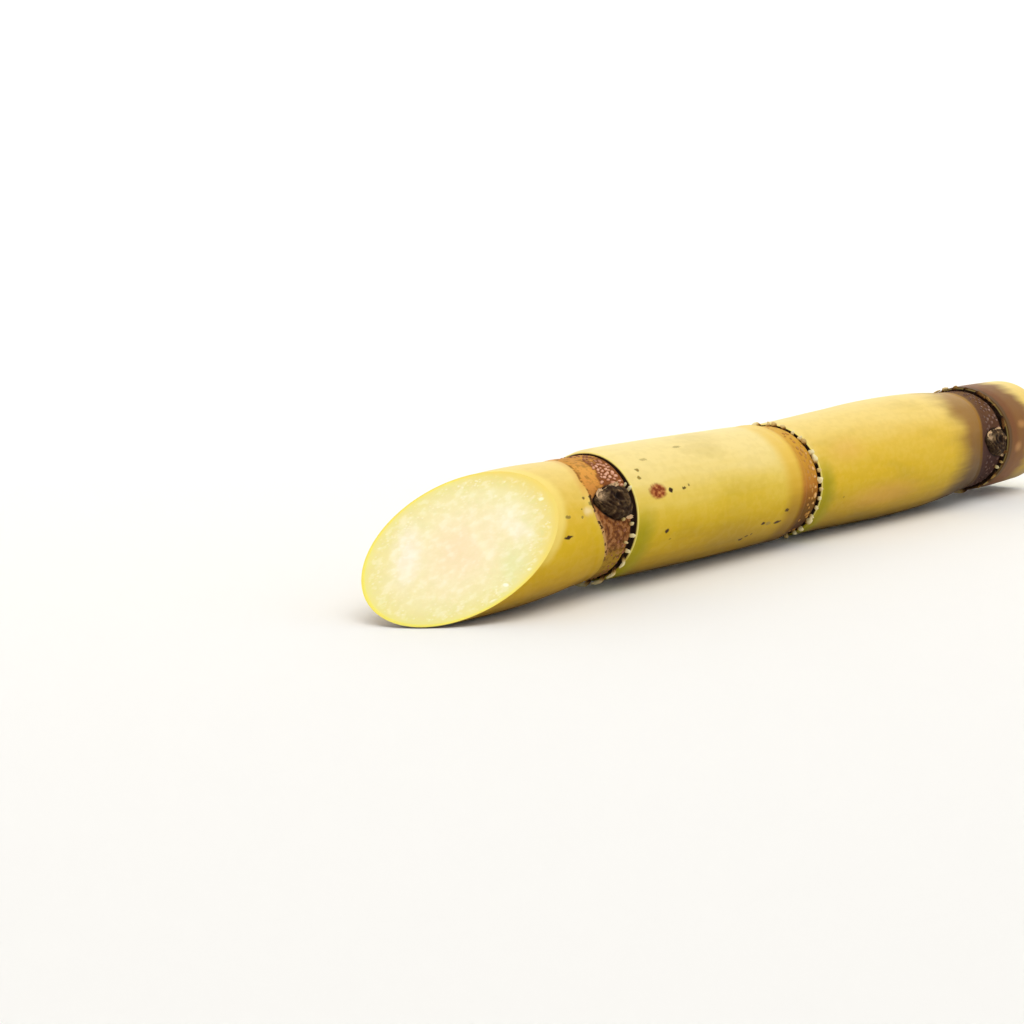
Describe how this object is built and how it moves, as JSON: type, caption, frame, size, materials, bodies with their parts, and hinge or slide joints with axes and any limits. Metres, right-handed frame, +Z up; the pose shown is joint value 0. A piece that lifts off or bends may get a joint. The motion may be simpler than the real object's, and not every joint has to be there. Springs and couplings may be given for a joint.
{
  "type": "sugarcane stalk",
  "caption": "Cut length of sugarcane stalk lying on its side, with a slanting cut at its upper end, ringed nodes, dried leaf-base collars and scaly buds.",
  "frame": {"origin": "middle of the bounding box at the surface that the stalk lies on", "axes": "+X along the stalk from the slanting upper cut towards the root end, +Y across it, +Z up"},
  "size_m": [0.3366, 0.044, 0.0405],
  "materials": {
    "cane_rind": "waxy golden yellow rind with a satin sheen, pale cream flesh on the cut faces",
    "dried_leaf_base": "matt dry fibre, dark brown at the root and tan at the tips",
    "bud_scale": "matt dark grey-brown scale with lighter edges"
  },
  "bodies": {
    "root": {"stalk": "cane_rind", "leaf_collar_1": "dried_leaf_base", "leaf_collar_2": "dried_leaf_base", "leaf_collar_3": "dried_leaf_base", "bud_1": "bud_scale", "bud_2": "bud_scale", "bud_3": "bud_scale"}
  },
  "joints": []
}
